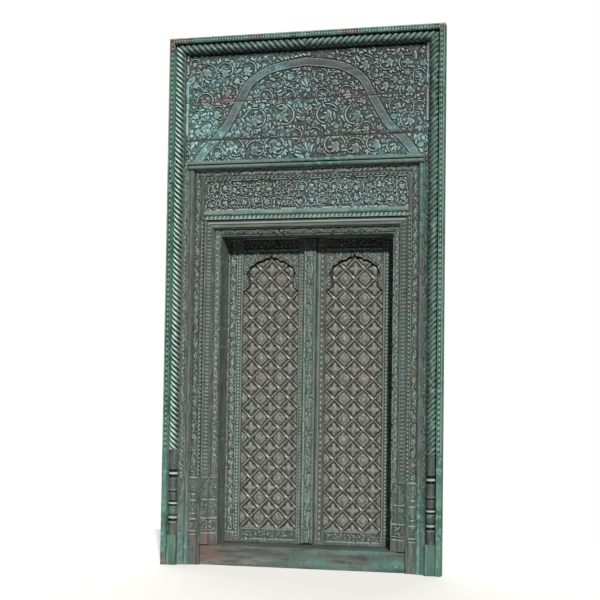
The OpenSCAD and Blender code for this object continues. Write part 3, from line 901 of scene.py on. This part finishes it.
def build_lintel():
    low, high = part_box("lintel_panel")
    r = Relief(evenly(high.x - low.x, FINE), high.z - low.z, FINE)
    r.level(0.0, 8 * MM, r.x[-1] - 8 * MM, 8 * MM, r.z[-1] - 5 * MM)
    for row, cz in enumerate((38 * MM, 104 * MM)):
        for k, cx in enumerate(np.arange(40 * MM, r.x[-1] - 20 * MM, 56 * MM)):
            hand = 1 if (k + row) % 2 else -1
            r.scroll(cx + rng.uniform(-5, 5) * MM, cz + rng.uniform(-5, 5) * MM,
                     rng.uniform(24, 30) * MM, hand, rng.uniform(0, 6.28))
    r.foliage(10 * MM, r.x[-1] - 10 * MM, 10 * MM, r.z[-1] - 8 * MM, 12 * MM,
              lambda x, z: math.atan2(math.cos(x * 60), math.sin(x * 60 + z * 40)), 1.5 * MM)
    r.bare[:] = np.interp(r.x, (0, 0.40, 0.55, 1.02), (0.60, 0.52, 0.22, 0.30))[None, :]
    r.tone[:] = np.interp(r.x, (0, 0.4, 0.6, 1.02), (1.22, 1.22, 1.32, 1.32))[None, :]
    board("lintel_panel_carved", "lintel_panel", "surround", r, 10 * MM, FIELD_TIMBER)

    section = [(0.2, 64), (18, 64), *round_points(32, 64, 12.8)[:-1], (44.8, 64)]
    run = Moulding(section, JAMB_BACK, 2 * MIDDLE_X)
    r = run.relief
    r.level(0.0, 1 * MM, 17.5 * MM)
    r.beads(9 * MM, 6.5 * MM, 22 * MM, 4 * MM)
    r.bare[:] = 0.3
    r.tone[:] = 1.8
    run.across(0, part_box("lintel_moulding")[0].z, 5 * MM, "lintel_moulding_beaded",
               "surround", CARVED_ACROSS, "painted_timber", ["lintel_moulding"],
               mitred=False)

    section = [(0.2, 34), *round_points(10.5, 34, 10.3)[1:-1], (20.8, 34), (21, 17.5),
               (22.5, 16), (34.5, 16), (35.8, 17.5), (36, 38)]
    run = Moulding(section, 75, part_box("cornice")[1].x * 2, 8 * MM)
    run.relief.bare[:] = 0.28
    run.relief.tone[:] = 1.42
    run.across(0, CORNICE_Z, 3 * MM, "cornice_moulded", "surround", CARVED_ACROSS,
               "painted_timber", ["cornice"], mitred=False)


# ---------------------------------------------------------------- the carved field over the cornice

ARCH_RIM = [(0, 498), (124, 482), (212, 456), (300, 396), (350, 308), (385, 243),
            (430, 168), (515, 80), (572, 3)]
SCROLLS_OUTSIDE = [(291, 446, 50), (203, 464, 36), (407, 448, 48), (499, 443, 46),
                   (388, 337, 46), (508, 305, 50), (448, 240, 44), (508, 166, 46),
                   (560, 385, 34), (560, 230, 34), (345, 395, 32), (570, 500, 26)]
SCROLLS_INSIDE = [(143, 365, 46), (69, 408, 38), (203, 311, 42), (83, 310, 40),
                  (106, 212, 60), (249, 205, 60), (300, 130, 42), (42, 120, 36),
                  (351, 60, 50), (249, 52, 50), (148, 60, 58), (440, 40, 36)]


def carve_field():
    """The whole arched field in one piece, before it is sawn into three boards."""
    width = 2 * ROPE_X
    r = Relief(evenly(width, FINE), ROPE_TOP_Z - FIELD_Z, FINE)
    mid = width / 2
    r.level(0.0, 13 * MM, width - 13 * MM, 4 * MM)
    window = r.zone(13 * MM, width - 13 * MM, 4 * MM)
    r.h[window] = 0.18 * blur(rng.uniform(0, 2, r.h[window].shape), 1) ** 2
    for spread, cz, radius in SCROLLS_OUTSIDE + SCROLLS_INSIDE:
        for side in (-1, 1):
            r.scroll(mid + side * (spread + rng.uniform(-4, 4)) * MM,
                     (cz + rng.uniform(-4, 4)) * MM, radius * MM, side,
                     math.pi / 2 - side * rng.uniform(0.4, 2.0))
    for cz, reach, spread in ((4, 98, 4), (190, 92, 4), (330, 70, 3)):
        for k in range(-spread, spread + 1):
            r.lobed(mid, cz * MM, (reach - 9 * abs(k)) * MM, math.pi / 2 + k * 0.30, 0, 1.0)

    def flow(x, z):
        return math.atan2(z - 0.2, x - mid) + math.pi / 2

    for spacing, cut in ((30 * MM, 2.8 * MM), (20 * MM, 2.6 * MM)):
        r.foliage(15 * MM, width - 15 * MM, 8 * MM, r.z[-1] - 26 * MM, spacing, flow, cut)
    band = carve_arch_band(r, mid)
    strip = 24 * MM
    for x0 in (0.0, width - strip):
        leaf_sprays(r, x0 + 1.5 * MM, x0 + strip - 1.5 * MM, 0, 128 * MM, 92 * MM)
    weather_field(r, mid, band)
    return r


def carve_arch_band(r, mid):
    """Lays the plain bell arch over the foliage; gives the points that it covers."""
    half = smooth_curve(np.array(ARCH_RIM) * MM)
    outer = np.vstack([half[::-1] * (-1, 1), half[1:]]) + (mid, 0)
    slope = np.gradient(outer, axis=0)
    slope /= np.hypot(*slope.T)[:, None]
    inward = np.stack([slope[:, 1], -slope[:, 0]], axis=1)
    centre = resample(outer + inward * 20 * MM, 4 * MM)
    band = np.zeros(r.h.shape, bool)
    for reach, height in ((24, 0.0), (20, 0.66)):
        for cx, cz in centre:
            window, across, up = r.near(cx, cz, reach * MM)
            inside = np.hypot(across, up) < reach * MM
            r.h[window] = np.where(inside, height, r.h[window])
            band[window] |= inside
    for (x0, z0), (x1, z1) in zip(centre[::3], centre[1::3]):
        along = math.atan2(z1 - z0, x1 - x0)
        for side in (-1, 1):
            r.leaf(x0, z0, 16 * MM, 9 * MM, along + side * 0.9, 0.85)
    r.h = np.where(band, r.h * (0.72 + 0.4 * blur(rng.uniform(0, 1, r.h.shape), 1)), r.h)
    for offset in (3, 37):
        r.vine(outer + inward * offset * MM, 3.4 * MM, 0.8)
    return band


def weather_field(r, mid, band):
    """Wear, board joints with their raw edges, tone of the whole field, and a painted shadow along
    its top under the rope beam.
    """
    x = (r.x[None, :] - mid) / mid
    z = r.z[:, None] / r.z[-1]
    worn = patches(r.h.shape, (10, 16))
    corners = np.clip(np.abs(x) * 1.2 - z - 0.2, 0, 1)
    r.bare = 0.18 + 0.34 * np.clip(0.5 + 2.2 * (x - 0.05), 0, 1) - 0.5 * corners
    r.bare += 0.25 * worn
    for joint, share in ((0.109, 0.55), (0.299, 0.85)):
        seam = np.abs(r.z - joint - 4 * MM)[:, None] / (0.010 * (0.5 + share))
        r.bare = r.bare + share * np.exp(-seam ** 2) * (0.75 + 0.5 * worn)
        r.h = np.where(np.abs(r.z - joint)[:, None] < 1.6 * MM, 0.1, r.h)
        r.h *= 1 - 0.4 * np.exp(-seam ** 2)
    r.tone = 1.31 - 0.15 * np.clip(0.5 + 2.2 * (x - 0.1), 0, 1) + 0.3 * corners
    r.tone = np.where(band, r.tone * 0.78, r.tone)
    r.tone[:, (r.x < 13 * MM) | (r.x > r.x[-1] - 13 * MM)] *= 0.85
    r.bare += 0.06 * band
    # Painted shadow: the top strip of the field, under the rope beam, is darkened to four tenths.
    r.tone *= np.interp(r.z, (r.z[-1] - 26 * MM, r.z[-1] - 18 * MM), (1, 0.4))[:, None]


def build_field():
    field = carve_field()
    for key in ("low", "mid", "top"):
        node = f"tympanum_board_{key}"
        low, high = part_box(node)
        r = field.part(low.z - FIELD_Z, high.z - FIELD_Z, FINE)
        board(node + "_carved", node, "surround", r, 13 * MM, FIELD_TIMBER)


# ---------------------------------------------------------------- sill

def build_sill():
    section = [(0.5, 78), (90, 78.5), (95, 80), (98.3, 84), (99.2, 92), (99.6, 140),
               (100, 225), (100.2, 285.5)]
    run = Moulding(section, 286, 2 * MIDDLE_X, 6 * MM)
    r = run.relief
    lumps = blur(rng.uniform(0, 1, r.h.shape), 3)
    r.h = 1 - np.clip((lumps - 0.45) * 3, 0, 1) * (run.pts[:, 1] < 0.2)[None, :] * 0.5
    bare = np.interp(r.z, (0, 0.25, 0.6, 1.02), (1.0, 0.8, 0.36, 0.26))
    r.bare = bare[:, None] + 0.25 * patches(r.h.shape, (16, 2))
    r.tone = (np.interp(r.z, (0.3, 0.6), (0.90, 0.72))[:, None]
              + 0.18 * patches(r.h.shape, (20, 2)))
    run.across(0, 0, 3.5 * MM, "threshold_worn", "surround", SILL_TIMBER,
               "painted_timber", ["threshold"], mitred=False)
    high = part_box("threshold")[1]
    front = FRONT + JAMB_BACK * MM
    for key, side in SIDES.items():
        square_block(f"threshold_end_{key}", high.x - MIDDLE_X + 4 * MM, high.y - front,
                     SILL_TOP, (side * (MIDDLE_X - 4 * MM + high.x) / 2,
                                (front + high.y) / 2, SILL_TOP / 2), BACK)


# ---------------------------------------------------------------- leaves

LATTICE = 99 * MM
CELL_Z = 1187 * MM


def lattice_relief(width, height, outline):
    """Crossed straps with a star or a round flower in every cell."""
    r = Relief(evenly(width, 3.1 * MM), height, 3.1 * MM)
    x = r.x[None, :] - width / 2
    z = r.z[:, None] - CELL_Z + LATTICE / 2
    fall, rise = (x + z) / LATTICE, (x - z) / LATTICE
    gap = LATTICE / math.sqrt(2)
    fall_off = (fall - np.rint(fall)) * gap
    rise_off = (rise - np.rint(rise)) * gap
    a, b = fall % 1.0 - 0.5, rise % 1.0 - 0.5
    star_cell = (np.floor(fall) + np.floor(rise)) % 2 == 1
    across, up = (a + b) * LATTICE / 2, (a - b) * LATTICE / 2
    radius, angle = np.hypot(across, up), np.arctan2(up, across)
    reach = (20 + 16 * np.abs(np.cos(2 * angle)) ** 1.5) * MM
    star = 0.92 * np.clip(1 - (radius / reach) ** 2, 0, 1) ** 0.7
    star *= 0.72 + 0.28 * np.abs(np.cos(4 * angle)) ** 0.7
    spread = (33 + 6 * np.exp(-((np.abs(angle) - math.pi / 2) / 0.35) ** 2)) * MM
    dome = 0.92 * np.clip(1 - (radius / spread) ** 2, 0, 1) ** 0.6
    petals = 0.66 + 0.34 * np.abs(np.cos(4 * angle + 9 * radius / LATTICE)) ** 0.7
    ring_cut = 1 - 0.40 * np.exp(-((radius - 15 * MM) / (2.5 * MM)) ** 2)
    flower = dome * np.where(radius < 7 * MM, 1.0, petals) * ring_cut
    r.h = np.where(star_cell, star, flower)
    along = rise % 1.0
    swell = np.interp(along, (0, 0.1, 0.55, 0.8, 0.93, 1.0), (0.7, 0.66, 0.8, 1, 1, 0.7))
    fall_bar = swell * np.sqrt(np.clip(1 - (fall_off / (7.2 * MM * swell)) ** 2, 0, 1))
    rise_bar = 0.70 * np.sqrt(np.clip(1 - (rise_off / (5.8 * MM)) ** 2, 0, 1))
    near_strap = np.minimum(np.abs(fall_off), np.abs(rise_off)) < 8.8 * MM
    r.h = np.where(near_strap, np.minimum(r.h, 0.04), r.h)
    # Painted light: each cell is painted lighter towards its top and darker towards its foot.
    painted_cell_light = r.h * (0.40 + 0.40 * np.clip(up / (30 * MM), -1, 1))
    r.h = np.maximum(r.h, np.maximum(rise_bar, fall_bar))
    r.h *= 1 - 0.30 * rng.uniform(0, 1, r.h.shape)
    # Painted highlight (gleam) near the lower end of each falling strap, and painted shade beside
    # the strap's upper part.
    gleam = np.exp(-((along - 0.82) / 0.13) ** 2 - ((fall_off - 1.5 * MM) / (4 * MM)) ** 2)
    shade = np.exp(-((along - 0.30) / 0.20) ** 2 - ((fall_off + 5 * MM) / (7 * MM)) ** 2)
    r.tone = 1.08 + painted_cell_light + 1.6 * gleam - 0.45 * shade
    near_arch = outline(r.x[None, :], r.z[:, None]) > -9 * MM
    r.h = np.where(near_arch & (r.z[:, None] > 1.19), 0.0, r.h)
    r.bare[:] = 0.72
    stain = np.exp(-((x + 10 * MM) / (14 * MM)) ** 2) * rng.uniform(0, 1, len(r.z))[:, None]
    r.bare += 0.2 * blur(stain, 4)
    return r


FOILS = [(0.117, 0.739, 0.239), (0.348, 0.576, 0.345), (0.602, 0.554, 0.223),
         (0.694, 0.478, 0.186)]
ARCH_SIDE = [(0.855, 0.40), (0.81, 0.30), (0.80, 0.20), (0.83, 0.13), (0.90, 0.08),
             (1, 0.03), (1, -9)]
ARCH_TIP = [(0.07, 0.8), (0.07, 0.92), (0, 1)]


def polygon_gap(x, z, corners):
    """Signed distance to a polygon, positive outside it."""
    gap, inside = np.inf, False
    for (ax, az), (bx, bz) in zip(corners, corners[1:] + corners[:1]):
        ex, ez, wx, wz = bx - ax, bz - az, x - ax, z - az
        t = np.clip((wx * ex + wz * ez) / (ex * ex + ez * ez), 0, 1)
        gap = np.minimum(gap, np.hypot(wx - ex * t, wz - ez * t))
        crosses = (az <= z) != (bz <= z)
        inside = inside ^ (crosses & ((ex * wz - ez * wx > 0) == (bz > az)))
    return np.where(inside, -gap, gap)


def scalloped_arch(mid, base, half_w, rise):
    """Positive outside the scalloped opening: the part that the arch board keeps."""
    rings = []
    for half in ([foil[:2] for foil in FOILS] + ARCH_SIDE, ARCH_TIP):
        ring = half + [(-u, v) for u, v in reversed(half)]
        rings.append([(u * half_w, v * rise) for u, v in dict.fromkeys(ring)])

    def outside(x, z):
        u, v = x - mid, z - base
        gap = np.minimum(*(polygon_gap(u, v, ring) for ring in rings))
        for cu, cv, size in FOILS:
            reach = np.hypot(np.abs(u) - cu * half_w, v - cv * rise) - size * half_w
            gap = np.minimum(gap, reach)
        return gap

    return outside


ARCH_RISE = 188 * MM


def build_leaf(key, side):
    body = f"{key}_leaf"

    def carved(part, relief, depth, **more):
        node = f"{key}_{part}"
        return board(node + "_carved", node, body, relief, depth, CARVED_UP, side=side, **more)

    def sized(part, step=3.3 * MM):
        low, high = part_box(f"{key}_{part}")
        return Relief(evenly(high.x - low.x, step), high.z - low.z, step)

    low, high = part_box(f"{key}_lattice_panel")
    width = high.x - low.x
    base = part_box(f"{key}_top_rail")[0].z - 210 * MM
    flat_arch = scalloped_arch(width / 2, base - low.z, width / 2, ARCH_RISE)
    r = lattice_relief(width, high.z - low.z, flat_arch)
    node = f"{key}_lattice_panel"
    board(node + "_carved", node, body, r, 14 * MM, LATTICE_TIMBER)

    r = sized("arch_board", 2.6 * MM)
    r.level(0.0, 2 * MM, r.x[-1] - 2 * MM, -1, r.z[-1] - 4 * MM)
    for spread, cz, radius in ((118, 158, 24), (85, 180, 18), (134, 108, 16), (132, 60, 14)):
        for way in (-1, 1):
            r.scroll(r.x[-1] / 2 + way * spread * MM, cz * MM, radius * MM, way, 1.0)
    r.foliage(4 * MM, r.x[-1] - 4 * MM, 0, r.z[-1] - 4 * MM, 9 * MM, lambda x, z: 1.2)
    r.soften(0.8)
    r.bare[:] = 0.55
    carved("arch_board", r, 4 * MM,
           outline=scalloped_arch((low.x + high.x) / 2, base, width / 2, ARCH_RISE))

    for part, foot, brow, gap, share, bare in (("top_rail", 6, 22, 2, 1, 0.6),
                                               ("bottom_rail", 22, 8, 4, 0.8, 0.45)):
        r = sized(part)
        r.level(0.0, 4 * MM, r.x[-1] - 4 * MM, foot * MM, r.z[-1] - brow * MM)
        r.foliage(4 * MM, r.x[-1] - 4 * MM, foot * MM, r.z[-1] - (brow + gap) * MM, 9 * MM,
                  lambda x, z: 0.8 * math.sin(x * 70))
        if share < 1:
            r.soften(share)
        r.bare[:] = bare
        carved(part, r, 4 * MM)

    r = sized("meeting_stile")
    top = r.z[-1] - 30 * MM
    if side > 0:
        r.level(0.2, 14 * MM, 38 * MM, 10 * MM, top)
        r.beads(26 * MM, 8 * MM, 28 * MM, 0, 10 * MM, top)
    else:
        r.level(0.2, 66 * MM, 84 * MM, 10 * MM, top)
        r.beads(75 * MM, 6.5 * MM, 17 * MM, 0, 10 * MM, top)
    r.soften(0.8)
    r.bare[:] = 0.55
    r.tone[:] = 1.0 if side < 0 else 0.9
    carved("meeting_stile", r, 4 * MM)


def build_hanging_stile(key, side):
    low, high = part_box(f"{key}_hanging_stile")
    leaf_low, leaf_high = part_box(f"{key}_meeting_stile")
    inner = low.x if side > 0 else -high.x
    front = (leaf_low.y - FRONT) / MM
    section = [(0, front), (73, front), *round_points(73, front + 20, 20, 8, 90, -90)[1:]]
    run = Moulding(section, front + 40, leaf_high.z - leaf_low.z, 3.5 * MM)
    run.pts[-1] = (40 * MM, (front + 40) * MM)
    r = run.relief
    top = r.z[-1] - 30 * MM
    wavy_vine(r, 32 * MM, 70 * MM, 0.05, top, 92 * MM, side)
    r.level(0.15, 9 * MM, 29 * MM, 0.02, top)
    r.beads(19 * MM, 7.5 * MM, 17 * MM, 0, 0.02, top)
    r.soften(0.9)
    r.bare[:] = 0.42
    r.tone[:] = 1.05 if side < 0 else 0.8
    run.upright(side, inner, leaf_low.z, 4.5 * MM, f"{key}_hanging_stile_carved",
                f"{key}_leaf", CARVED_UP, "carved_timber", [f"{key}_hanging_stile"])
    pins = bmesh.new()
    for z0, z1 in ((low.z, leaf_low.z + 2 * MM), (leaf_high.z - 2 * MM, high.z)):
        place = Matrix.Translation((side * (INNER_X - 1 * MM), (leaf_low.y + leaf_high.y) / 2,
                                    (z0 + z1) / 2))
        bmesh.ops.create_cone(pins, cap_ends=True, segments=32, radius1=14 * MM,
                              radius2=14 * MM, depth=z1 - z0, matrix=place)
    finished(pins, f"{key}_pivot_pins", f"{key}_leaf", BACK, "back_timber")


def build_centre_strip():
    low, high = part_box("centre_strip")
    section = [(0.3, 213), (1.5, 212), (7, 212), (9, 213.5), (51, 213.5), (53, 212),
               (58.5, 212), (59.7, 213)]
    run = Moulding(section, 228, high.z - low.z, 3.1 * MM)
    r = run.relief
    x0, x1 = run.knots[3] + 0.5 * MM, run.knots[4] - 0.5 * MM
    wavy_vine(r, x0, x1, 0.0, r.z[-1], 186 * MM)
    for k, cz in enumerate(np.arange(186 * MM / 4, r.z[-1], 93 * MM)):
        way = -1 if k % 2 == 0 else 1
        r.rosette((x0 + x1) / 2 + way * 8 * MM, cz, 13 * MM, 6)
    r.soften(0.8)
    r.bare[:] = 0.35
    r.tone[:] = 1.05
    run.upright(1, low.x, low.z, 5 * MM, "centre_strip_carved", "left_leaf", CARVED_UP,
                "painted_timber", ["centre_strip"])


# ---------------------------------------------------------------- light, floor and camera

SUN_TINT = (1.0, 0.97, 0.92)
SUNS = (("key_light", 6.1, 3, (-0.31, 0.81, -0.50)),
        ("back_light", 1.8, 70, (0.35, -0.80, -0.50)))
CAMERA_AT = (1.701, -6.5075, 0.756)
CAMERA_YAW, CAMERA_PITCH, CAMERA_ROLL = 14.95, 2.97, 0.80


def build_sky():
    """Faint cool light all round, seen as plain white."""
    world = bpy.data.worlds.new("soft light")
    bpy.context.scene.world = world
    world.use_nodes = True
    nodes, links = world.node_tree.nodes, world.node_tree.links
    glow = nodes["Background"]
    glow.inputs["Color"].default_value = (0.93, 0.97, 1.0, 1)
    glow.inputs["Strength"].default_value = 0.15
    seen = nodes.new("ShaderNodeBackground")
    seen.inputs["Color"].default_value = (1, 1, 1, 1)
    path = nodes.new("ShaderNodeLightPath")
    mix = nodes.new("ShaderNodeMixShader")
    links.new(path.outputs["Is Camera Ray"], mix.inputs[0])
    links.new(glow.outputs[0], mix.inputs[1])
    links.new(seen.outputs[0], mix.inputs[2])
    links.new(mix.outputs[0], nodes["World Output"].inputs[0])


def build_lights():
    for name, energy, spread, aim in SUNS:
        lamp = bpy.data.lights.new(name, "SUN")
        lamp.energy = energy
        lamp.angle = math.radians(spread)
        lamp.color = SUN_TINT
        light = in_scene(name, lamp)
        light.rotation_euler = Vector(aim).to_track_quat("-Z", "Y").to_euler()


def build_floor():
    ground = bmesh.new()
    bmesh.ops.create_circle(ground, cap_ends=True, segments=128, radius=2.2)
    mesh = bpy.data.meshes.new("floor")
    ground.to_mesh(mesh)
    ground.free()
    f = Finish("pale floor")
    colour = f.blend(f.noise(1.5, 2), (0.76, 0.76, 0.76), (0.81, 0.81, 0.81))
    mesh.materials.append(f.done(colour, f.noise(40.0, 2), 0.1 * MM,
                                 f.span(f.noise(3.0), 0, 1, 0.8, 0.95)))
    in_scene("floor", mesh)


def build_camera():
    yaw, pitch, roll = map(math.radians, (CAMERA_YAW, CAMERA_PITCH, CAMERA_ROLL))
    ahead = Vector((-math.sin(yaw) * math.cos(pitch), math.cos(yaw) * math.cos(pitch),
                    math.sin(pitch)))
    right = Vector((math.cos(yaw), math.sin(yaw), 0))
    up = right.cross(ahead)
    across = right * math.cos(roll) + up * math.sin(roll)
    upward = up * math.cos(roll) - right * math.sin(roll)
    lens = bpy.data.cameras.new("camera")
    lens.lens = 82.5
    lens.sensor_width = 36
    lens.shift_y = 0.0667
    lens.clip_end = 60
    camera = in_scene("camera", lens)
    turned = Matrix((across, upward, -ahead)).transposed().to_4x4()
    camera.matrix_world = Matrix.Translation(CAMERA_AT) @ turned
    bpy.context.scene.camera = camera
    bpy.context.scene.view_settings.view_transform = "Standard"


build_sky()
build_lights()
build_floor()
build_camera()
build_rope()
build_edges()
build_outer_jambs()
build_middle()
build_inner()
build_lintel()
build_field()
build_sill()
for key, side in SIDES.items():
    build_leaf(key, side)
    build_hanging_stile(key, side)
build_centre_strip()

for name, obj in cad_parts.items():
    if obj.hide_render:
        continue
    crosswise = any(word in name for word in ("ledge", "rail", "beam"))
    finish = IRON if name.endswith("nails") else BACK_ACROSS if crosswise else BACK
    for slot in obj.material_slots:
        slot.material = finish
